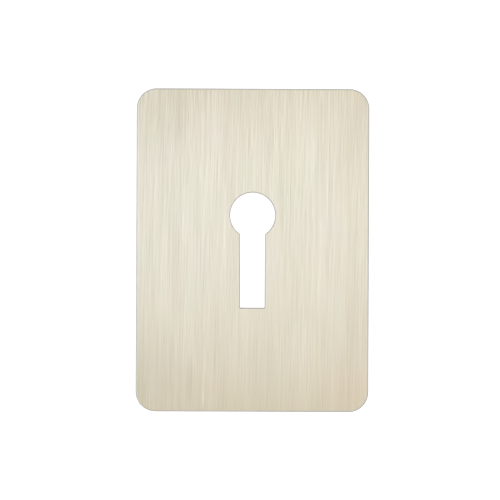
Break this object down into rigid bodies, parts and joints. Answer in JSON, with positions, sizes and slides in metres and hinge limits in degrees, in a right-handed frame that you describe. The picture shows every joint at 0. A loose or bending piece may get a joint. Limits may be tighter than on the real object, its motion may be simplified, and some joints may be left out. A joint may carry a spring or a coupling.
{
  "type": "keyhole escutcheon",
  "caption": "Thin brushed-metal keyhole escutcheon: a rectangular plate with rounded corners and a keyhole through its middle, stuck over a lock so that the key passes through.",
  "frame": {"origin": "middle of the plate's flat back face", "axes": "+Z out of the face that shows, +Y to the top of the plate, where the round of the keyhole is, +X to the right of someone facing the plate"},
  "size_m": [0.0504, 0.07, 0.0015],
  "materials": {
    "brushed_metal": "satin nickel colour, brushed from top to bottom, with eased edges"
  },
  "bodies": {
    "root": {"escutcheon_plate": "brushed_metal"}
  },
  "joints": []
}
